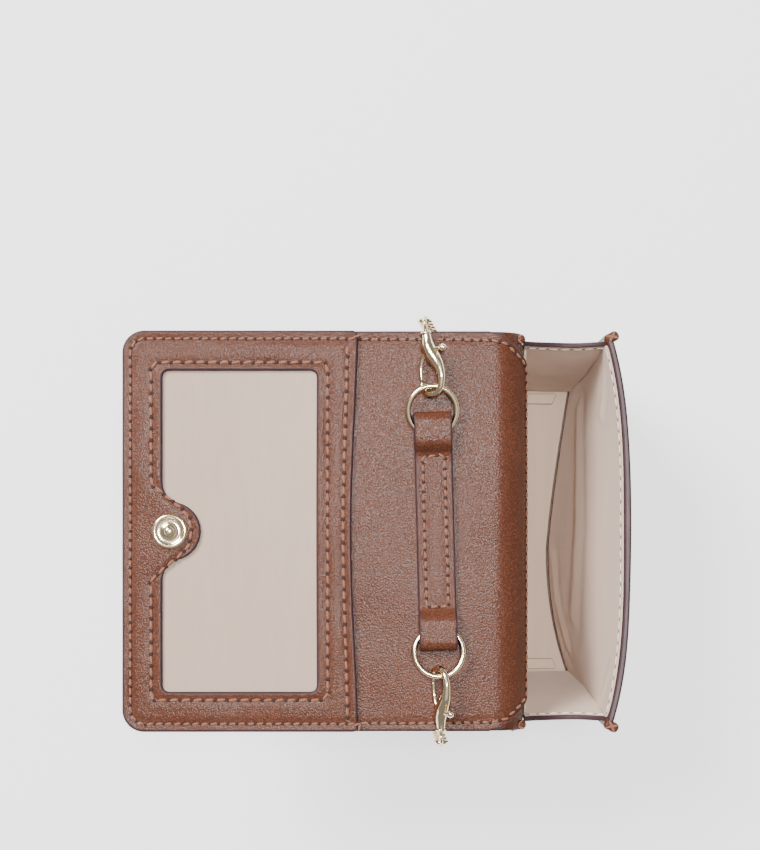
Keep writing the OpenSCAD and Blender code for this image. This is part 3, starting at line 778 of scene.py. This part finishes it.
slice_up(shape, 1, -strap_half, strap_half, 1.6)
shape.normal_update()
for face in shape.faces:
    if abs(face.normal.x) > 0.2:
        face.material_index = 1
strap_box = [(-2.2, -20.6), (2.2, -20.6), (3, -19.8), (3, 19.8), (2.2, 20.6), (-2.2, 20.6), (-3, 19.8), (-3, -19.8)]
press(shape, [strap_box + strap_box[:1]], 0.24, flap_top + 1.9, 0.7)
bmesh.ops.transform(shape, matrix=strap_frame, verts=shape.verts)
made = piece("strap", shape, [inner_leather, painted_edge], "flap_roof")
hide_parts("strap_bar")

shape = bmesh.new()
sew(shape, strap_box, flap_top + 2.24, 2.65, 0.62, closed=True)
bmesh.ops.transform(shape, matrix=strap_frame, verts=shape.verts)
piece("strap_stitches", shape, tan_rows, "flap_roof")

ring_pivot, ring_reach, ring_z, ring_tilt, ring_middle, ring_wire = 27.25, 12.45, 84.0, 9.0, 6.65, 0.75
ring_y = 33.05
other_end = Matrix.Diagonal((1, -1, 1, 1))


def at_end(end, matrix):
    """A place in the strap's frame, at its first or its mirrored end."""
    return strap_frame @ (other_end if end == "b" else Matrix()) @ matrix


for end in "ab":
    lie = Matrix.Translation((0, ring_pivot, ring_z)) @ Matrix.Rotation(math.radians(ring_tilt), 4, "X") @ Matrix.Translation((0, ring_y - ring_pivot, 0))
    shape = add(bmesh.new(), ring_shape(ring_middle, ring_wire, 72, 16), at_end(end, lie))
    made = piece("o_ring_" + end, shape, [pale_gold], "ring_" + end)
    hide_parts("ring_" + end)

# ---- clasps: x across, y from hook to eye, z through ----
hook_seat, gate_pivot_y = 3.0, 12.6
clasp_lie = {"a": (5.0, 38.0), "b": (0.0, 60.0)}


def clasp_place(end):
    lean, roll = clasp_lie[end]
    dip = math.radians(ring_tilt)
    spot = Matrix.Translation((0, ring_pivot + ring_reach * math.cos(dip), ring_z + ring_reach * math.sin(dip)))
    slope = Matrix.Rotation(math.radians(lean), 4, "Z") @ Matrix.Rotation(math.radians(-3), 4, "X")
    return at_end(end, spot @ slope @ Matrix.Rotation(math.radians(-roll), 4, "Y") @ Matrix.Translation((0, -hook_seat, 0)))


def clasp_body():
    """The lobster's claw: a slim tip, an arm that swells into a faceted shoulder, and a waisted neck."""
    line = [(-3.2, 4.5), (-3.3, 3.4), (-2.5, 1.7), (-0.2, 0.82), (2.1, 1.5), (3.3, 3.8), (3.35, 6.6), (2.5, 9.2), (1.0, 11.6), (0.1, 14.0), (0, 16.2), (0, 17.6)]
    thick = [0.5, 0.7, 0.82, 0.88, 0.92, 0.98, 1.25, 1.75, 2.2, 2.0, 1.5, 1.3]
    body = tube([(x, y, 0) for x, y in line], thick)
    for vert in body.verts:
        vert.co.z *= 0.84 + 0.14 * max(0, min(1, (9.5 - vert.co.y) / 5))
    collar = turned([(0, 17.2), (1.35, 17.2), (1.5, 17.5), (1.35, 17.9), (0, 17.9)], 24)
    add(body, collar, Matrix.Rotation(-math.pi / 2, 4, "X"))
    for z in (-1.0, 1.0):
        rivet = turned([(0, 0.42), (0.55, 0.36), (0.8, 0.15), (0.85, -0.2), (0, -0.2)], 20)
        add(body, rivet, Matrix.Translation((0.35, gate_pivot_y, z * 1.08)) @ Matrix.Diagonal((1, 1, z, 1)))
    return body


def clasp_gate():
    """The sprung bar that closes the claw, and its thumb lever with a rounded tip."""
    bar = tube([(-3.25, 4.9, 0), (-3.25, 6.6, 0), (-2.85, 9.2, 0), (-1.5, 11.6, 0), (0.4, 12.6, 0)], [0.5, 0.56, 0.56, 0.6, 0.7])
    lever = tube([(0.4, 12.6, 0), (2.6, 12.75, 0), (4.3, 12.7, 0)], [0.75, 0.6, 0.5])
    add(bar, lever)
    tip = turned([(0, 1.2), (0.6, 0.85), (1.05, 0.1), (0.95, -0.4), (0.5, -0.75), (0, -0.8)], 20)
    add(bar, tip, Matrix.Translation((5.0, 12.7, 0)) @ Matrix.Rotation(math.pi / 2, 4, "Y"))
    return bar


for end in "ab":
    place = clasp_place(end)
    made = piece("claw_" + end, add(bmesh.new(), clasp_body(), place), [pale_gold], "clasp_" + end)
    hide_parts(f"clasp_{end}_hook")
    made = piece("lever_" + end, add(bmesh.new(), clasp_gate(), place), [pale_gold], "gate_" + end)
    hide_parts("gate_" + end)

# ---- pocket ----
front_x, front_foot_z, lean = 12.6, 1.5, math.radians(3.4)
wall_up = Vector((math.sin(lean), 0, math.cos(lean)))
wall_out = Vector((math.cos(lean), 0, -math.sin(lean)))
wall_height = 73.6
board_side_y = 47.5


def wall_bulge(y, rise):
    """How far the front wall stands out of its plane: full in the middle of the rim, in at the corners."""
    share = max(0.0, rise / wall_height) ** 1.6
    return (1.8 - 4.9 * (abs(y) / 53) ** 3.2) * share


def on_wall(y, rise, out):
    return Vector((front_x, y, front_foot_z)) + wall_up * rise + wall_out * (out + wall_bulge(y, rise))


# flat layers of the front wall are cut as (rise, width, depth)
wall_outline = rounded_outline([(0, -50.5, 6), (7, -half_width, 6), (wall_height, -half_width, 3), (wall_height, half_width, 3), (7, half_width, 6), (0, 50.5, 6)])
wall_row = [(9, -52.7), (wall_height - 2.0, -52.7)], [(9, 52.7), (wall_height - 2.0, 52.7)]
rim_row = [(wall_height - 2.2, y) for y in range(-52, 53, 4)]
shape = slab(wall_outline, -2.0, 0, rim=0.6, step=1.4)
# The up-facing middle of the rim takes the lighter edge paint, a painted highlight on the rounded edge.
for face in shape.faces:
    if face.normal.x > 0.97:
        face.material_index = 2
press(shape, [*wall_row, rim_row], 0.18, -0.8)
move(shape, lambda v: on_wall(v.y, v.x, v.z + (soft_wave(v, 30, 0.3, 13) if v.z > -0.8 else 0)))
made = piece("front_skin", shape, [outer_leather, painted_edge, painted_rim_highlight], "front_wall")
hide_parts("front_panel_leather")

front_board = rounded_outline([(4, -45, 6), (66, -50, 4), (66, 50, 4), (4, 45, 6)])
shape = slab(front_board, -1.8, -1.3, rim=0, step=3, sides=0)
move(shape, lambda v: on_wall(v.y, v.x, v.z))
made = piece("front_board", shape, [board.material], "front_wall")
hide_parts("front_stiffener")

shape = bmesh.new()
for row in wall_row:
    sew(shape, row, 0, 2.5, 0.5)
sew(shape, rim_row, 0, 3.2, 0.5)
move(shape, lambda v: on_wall(v.y, v.x, v.z - 0.1))
piece("front_stitches", shape, tan_rows, "front_wall")

creases = [([(21, 37), (27, 18), (31, 0), (29, -14), (24, -26)], 0.7, 3.4), ([(6, -8), (7, -22), (12, -36)], 0.6, 2.4),
           ([(60, 44), (52, 34)], 0.7, 2.2), ([(66, -38), (60, -46)], 0.7, 2.0), ([(36, 30), (42, -5), (40, -30)], 0.25, 7.0)]


def foot_hang(y):
    """How far the front lining's foot lies in from the wall: most just past the middle, nothing in the corners."""
    share = (y + 6) / 53.5 if y > -6 else (-6 - y) / 42
    return 7.4 * (1 - min(1, share) ** (1.25 if y > -6 else 2.1))


def hang_lining(shape):
    """Lets the front lining hang in from the wall, loose low down in its middle, with its soft creases."""
    spots = [(v.co.x, v.co.y) for v in shape.verts]
    creased = [(deep, wide, close_to(spots, path)) for path, deep, wide in creases]
    for i, vert in enumerate(shape.verts):
        rise, y, depth = vert.co
        hang = foot_hang(y) * max(0.0, 1 - rise / 72) ** 1.1
        for deep, wide, away in creased:
            fold = math.exp(-(away[i] / wide) ** 2) - 0.6 * math.exp(-((away[i] - 1.6 * wide) / wide) ** 2)
            hang += deep * fold * min(1, (72 - rise) / 20) * min(1, rise / 4)
        vert.co = on_wall(y, rise, depth - hang)


lining_outline = rounded_outline([(0.9, -45.9, 1), (wall_height - 0.6, -52.2, 2), (wall_height - 0.6, 52.2, 2), (0.9, 45.9, 1)])
shape = slab(lining_outline, -2.45, -2.05, rim=0.12, step=1.1, sides=0)
hang_lining(shape)
made = piece("front_lining_cloth", shape, [wall_cloth], "front_wall")
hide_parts("front_lining")

shape = bmesh.new()
sew(shape, [(wall_height - 2.2, y) for y in range(-51, 52, 3)], -2.46, 3.25, 0.55, side=-1, slant=3)
move(shape, lambda v: on_wall(v.y, v.x, v.z))
piece("front_rim_stitches", shape, cream_rows, "front_wall")

# base
shape = slab(rounded_outline([(-12.3, -49, 2), (12.3, -49, 2), (12.3, 49, 2), (-12.3, 49, 2)]), 0, 1.3, rim=0.5, step=2.5, sides=0)
made = piece("base_skin", shape, [outer_leather], "pocket")
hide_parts("base_leather")
foot_line = [(front_x - 3.0 - foot_hang(y), y) for y in range(-46, 47, 4)]
shape = slab([(-11.3, -46.5), *foot_line, (-11.3, 46.5)], 1.3, 1.7, rim=0.1, step=1.5, sides=0)
move(shape, lambda v: Vector((v.x, v.y, v.z + (soft_wave(v, 14, 0.5, 17) + 0.9 * max(0, -v.x / 11) ** 4 if v.z > 1.5 else 0))))
made = piece("base_lining_cloth", shape, [base_cloth], "pocket")
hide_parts("base_lining")

# seam allowances on the base beside the gussets; their sides take the darker hole cloth, a painted shade line along
# each edge
shape = bmesh.new()
for s in (-1, 1):
    strip = slab(rounded_outline([(-10.8, 41.2, 0.6), (4.2, 41.0, 0.8), (5.6, 44.4, 0.6), (-10.8, 44.4, 0.6)]), 1.9, 2.8, rim=0.15, step=1.0)
    move(strip, lambda v: Vector((v.x, v.y, v.z + soft_wave(v, 7, 0.25, 19 + s))))
    add(shape, strip, Matrix.Diagonal((1, s, 1, 1)))
piece("seam_strips", shape, [base_cloth, cloth_hole_shade.material], "pocket")

# back lining, over the wall and hidden under the facing
shape = slab(rounded_outline([(0.8, -45.9, 1), (68.5, -51.4, 1), (68.5, 51.4, 1), (0.8, 45.9, 1)]), 0.62, 1.1, rim=0.1, step=2.0, sides=0)
move(shape, lambda v: Vector((v.x, v.y, v.z + soft_wave(v, 16, 0.25, 23) * (v.z > 0.8))))
move(shape, over_back)
made = piece("back_lining_cloth", shape, [wall_cloth], "pocket")
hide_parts("back_lining")


def gusset_rim(x):
    """Height of the gusset's rim, which dips between the walls."""
    return 66.4 + 6.4 * min(1.2, abs((x - 1.5) / 13.5)) ** 2.1


def gusset_side(x, z):
    """How far out the gusset stands at a place on it."""
    rise = max(0.0, (z - 1.5) / 71)
    across = (x - 1.5) / 13.5
    return 45.6 + 1.6 * rise + 5.2 * rise ** 1.2 + 0.8 * (1 - min(1, across * across)) * rise + 0.25 * noise.noise(Vector((x / 9, z / 12, 31)))


def gusset_outline():
    back, step = -11.0, 1.5
    front = 10.4
    points = [(back, 1.6)]
    for z in (1.6, 12, 22, 32, 42, 52, 60, 66, 71):
        points.append((front + z * math.tan(lean) + wall_bulge(50, z), z))
    x = points[-1][0] - step
    while x > back + 0.5:
        points.append((x, gusset_rim(x)))
        x -= step
    return points + [(back, gusset_rim(back))]


for side, word in ((-1, "left"), (1, "right")):
    shape = slab(gusset_outline(), -1.0, 0.4, rim=0.3, step=1.4)
    for face in shape.faces:
        if face.material_index != 1:
            face.material_index = 2 if face.normal.z > 0 else 0
    move(shape, lambda v: Vector((v.x, side * (gusset_side(v.x, v.y) - v.z), v.y)))
    if side > 0:
        bmesh.ops.reverse_faces(shape, faces=shape.faces)
    bmesh.ops.recalc_face_normals(shape, faces=shape.faces)
    made = piece("gusset_skin_" + word, shape, [outer_leather, painted_edge, gusset_cloth])
    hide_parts("gusset_" + word, f"gusset_{word}_lining")
    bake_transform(made)
    shape = bmesh.new()
    row = [(x / 2, gusset_rim(x / 2) - 2.2) for x in range(-19, 26)]
    sew(shape, row, 0.42, 3.25, 0.5, slant=3)
    move(shape, lambda v: Vector((v.x, side * (gusset_side(v.x, v.y) - v.z), v.y)))
    bmesh.ops.recalc_face_normals(shape, faces=shape.faces)
    made = piece("gusset_stitches_" + word, shape, cream_rows)
    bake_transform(made)

# the corners where gussets and walls are bound together
def corner_tab(shape, x, y, across, wide, turn, top, deep, tilt=0.0):
    """A folded leather ear at a corner, crossed by two stitches."""
    tab = slab(rounded_outline([(-across, -wide, 1.0), (across, -wide, 1.2), (across, wide, 1.2), (-across, wide, 1.0)]), -deep, 0, rim=1.0, step=0, sides=0)
    cross = bmesh.new()
    for slant in (-38, 38):
        lie = Matrix.Rotation(math.radians(slant), 4, "Z") @ Matrix.Rotation(math.pi / 2, 4, "Y")
        place_copy(cross, one_stitch, Matrix.Translation((0, 0, 0.05)) @ lie @ Matrix.Diagonal((0.28, 0.34, across * 0.9, 1)), 2)
    add(tab, cross)
    place = Matrix.Translation((x, y, top)) @ Matrix.Rotation(math.radians(tilt), 4, "Y") @ Matrix.Rotation(math.radians(turn), 4, "Z")
    return add(shape, tab, place)


bound = [outer_leather, outer_leather, tan_thread]
shape = corner_tab(bmesh.new(), 13.3, 54.1, 2.1, 1.4, 28, 75.3, 3.2)
corner_tab(shape, 13.2, -54.4, 2.1, 1.4, -28, 75.3, 3.2)
piece("front_corner_tabs", shape, bound, "front_wall")
shape = corner_tab(bmesh.new(), -13.4, 53.6, 2.5, 1.3, -8, 76.4, 2.8)
corner_tab(shape, -13.2, -54.0, 2.5, 1.3, 10, 76.4, 2.8)
piece("back_corner_tabs", shape, bound, "pocket")

# snap cup on the front wall
cup = turned([(0, 0.6), (1.7, 0.6), (1.85, 1.9), (2.3, 2.1), (3.0, 1.85), (4.6, 1.85), (4.8, 2.05), (5.6, 2.1), (6.1, 1.7), (6.25, 0.9), (6.2, 0.0), (0, 0.0)], 64)
made = piece("snap_cup_shell", add(bmesh.new(), cup, Matrix.Translation(on_wall(0, 19.85, 0.02)) @ Matrix.Rotation(lean, 4, "Y") @ Matrix.Rotation(math.pi / 2, 4, "Y")), [pale_gold], "front_wall")
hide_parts("snap_cup")

# ---- CAD parts that show or lie inside as they are ----
kept = {"back_stiffener": board.material, "roof_stiffener": board.material, "flap_stiffener": board.material,
        "snap_magnet": plain_steel, "snap_cup_washer": plain_steel, "snap_stud_washer": plain_steel,
        "eye_a": pale_gold, "eye_b": pale_gold, "gate_pin_a": plain_steel, "gate_pin_b": plain_steel,
        "gate_spring_a": plain_steel, "gate_spring_b": plain_steel}
for name, material in kept.items():
    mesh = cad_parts[name].data
    mesh.materials.clear()
    mesh.materials.append(material)

# ---- floor and light ----
ground = bmesh.new()
bmesh.ops.create_grid(ground, x_segments=1, y_segments=1, size=3.0, matrix=Matrix.Translation((0, 0, -0.0002)))
floor_mesh = bpy.data.meshes.new("floor")
ground.to_mesh(floor_mesh)
ground.free()
floor = bpy.data.objects.new("floor", floor_mesh)
bpy.context.scene.collection.objects.link(floor)
paper = Finish("paper", Roughness=0.9, Specular_IOR_Level=0.1, Base_Color=(0.6, 0.6, 0.6, 1), Emission_Color=(1, 1, 1, 1), Emission_Strength=1.46)
floor_mesh.materials.append(paper.material)


def softbox(name, place, aim, size, watts, colour=(1, 1, 1)):
    light = bpy.data.lights.new(name, "AREA")
    light.shape = "RECTANGLE"
    light.size, light.size_y = size
    light.energy = watts
    light.color = colour
    holder = bpy.data.objects.new(name, light)
    holder.location = place
    holder.rotation_euler = (Vector(aim) - Vector(place)).to_track_quat("-Z", "Y").to_euler()
    bpy.context.scene.collection.objects.link(holder)


softbox("overhead", (0.0, 0.10, 1.25), (-0.02, 0, 0.05), (0.24, 0.22), 15)
softbox("ceiling", (0.0, 0.0, 1.6), (0, 0, 0), (2.0, 2.0), 6)
softbox("key", (-0.72, 0.62, 1.1), (-0.02, 0, 0.05), (0.5, 0.5), 36)
world = bpy.data.worlds.new("studio")
bpy.context.scene.world = world
world.use_nodes = True
world.node_tree.nodes["Background"].inputs["Color"].default_value = (1, 1, 1, 1)
world.node_tree.nodes["Background"].inputs["Strength"].default_value = 0.26

bpy.context.view_layer.update()
